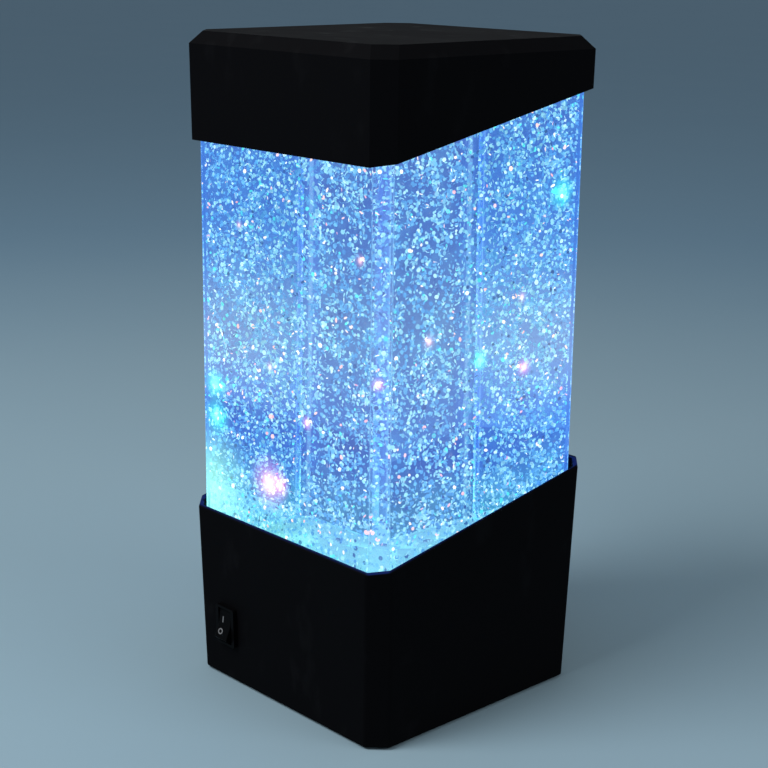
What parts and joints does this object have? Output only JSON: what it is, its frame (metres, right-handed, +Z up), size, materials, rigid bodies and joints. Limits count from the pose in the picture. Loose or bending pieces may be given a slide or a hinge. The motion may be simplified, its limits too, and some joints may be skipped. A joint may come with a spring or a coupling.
{
  "type": "glitter water lamp",
  "caption": "Square free-standing lamp: a black base with a rocker switch and a battery bay, a clear water tank with glitter and a magnetic stirrer lit from below, and a black cap.",
  "frame": {"origin": "on the table, under the middle of the base", "axes": "+Z up the lamp; the face with the switch looks along -Y, and the rim and the cap's edge climb towards +Y"},
  "size_m": [0.104, 0.1067, 0.235],
  "materials": {
    "black_shell": "fine matte texture, moulded",
    "black_cover": "matte, moulded",
    "switch_black": "satin, moulded",
    "feet_rubber": "soft, moulded",
    "foam": "closed-cell foam",
    "cell_jacket": "plain shrink sleeve over steel",
    "plated_steel": "nickel plated",
    "brass": "plain",
    "magnet": "nickel plated",
    "white_plastic": "moulded, natural white",
    "board": "solder resist",
    "board_black": "moulded",
    "led_epoxy": "clear epoxy, lit",
    "lead_red": "soft insulation",
    "lead_black": "soft insulation",
    "clear_tank": "clear, polished",
    "milky_floor": "milky, lit from below",
    "water": "clear blue water, lit from below",
    "glitter": "metallised film flakes",
    "milky_stirrer": "milky, moulded, lit from below"
  },
  "bodies": {
    "lamp": {"base_housing": "black_shell", "bottom_cover": "black_cover", "cover_screws": "plated_steel", "rubber_feet": "feet_rubber", "battery_cells": "cell_jacket", "battery_springs": "plated_steel", "battery_contacts": "plated_steel", "switch_housing": "switch_black", "switch_terminals": "brass", "motor_cradle": "white_plastic", "cradle_screws": "plated_steel", "motor_can": "plated_steel", "motor_bell": "white_plastic", "led_board": "board", "leds": "led_epoxy", "board_parts": "board_black", "board_screws": "plated_steel", "power_leads": "lead_red", "return_leads": "lead_black", "tank_gasket": "foam", "tank_floor": "milky_floor", "tank_walls": "clear_tank", "tank_lid": "clear_tank", "fill_plug": "feet_rubber", "water_fill": "water", "glitter_flakes": "glitter", "stirrer_axle": "plated_steel", "stirrer_clip": "white_plastic", "cap_shell": "black_shell", "cap_pads": "foam"},
    "switch_rocker": {"switch_rocker": "switch_black"},
    "battery_door": {"battery_door": "black_cover", "door_pad": "foam"},
    "motor_rotor": {"motor_shaft": "plated_steel", "drive_hub": "white_plastic", "drive_magnets": "magnet"},
    "stirrer": {"stirrer": "milky_stirrer", "stirrer_magnets": "magnet"}
  },
  "joints": [
    {"name": "rocker_tilt", "type": "hinge", "parent": "lamp", "child": "switch_rocker", "pos_m": [-0.0297, -0.05004, 0.02211], "axis": [1, 0, 0], "range_deg": [0, 32]},
    {"name": "door_swing", "type": "hinge", "parent": "lamp", "child": "battery_door", "pos_m": [-0.02885, 0, 0.0019], "axis": [0, 1, 0], "range_deg": [0, 90]},
    {"name": "rotor_spin", "type": "hinge", "parent": "lamp", "child": "motor_rotor", "pos_m": [0, 0, 0.038], "axis": [0, 0, 1], "continuous": true},
    {"name": "stirrer_spin", "type": "hinge", "parent": "lamp", "child": "stirrer", "pos_m": [0, 0, 0.05], "axis": [0, 0, 1], "continuous": true}
  ],
  "couplings": [
    {"joint": "stirrer_spin", "follows": "rotor_spin", "ratio": 1}
  ]
}
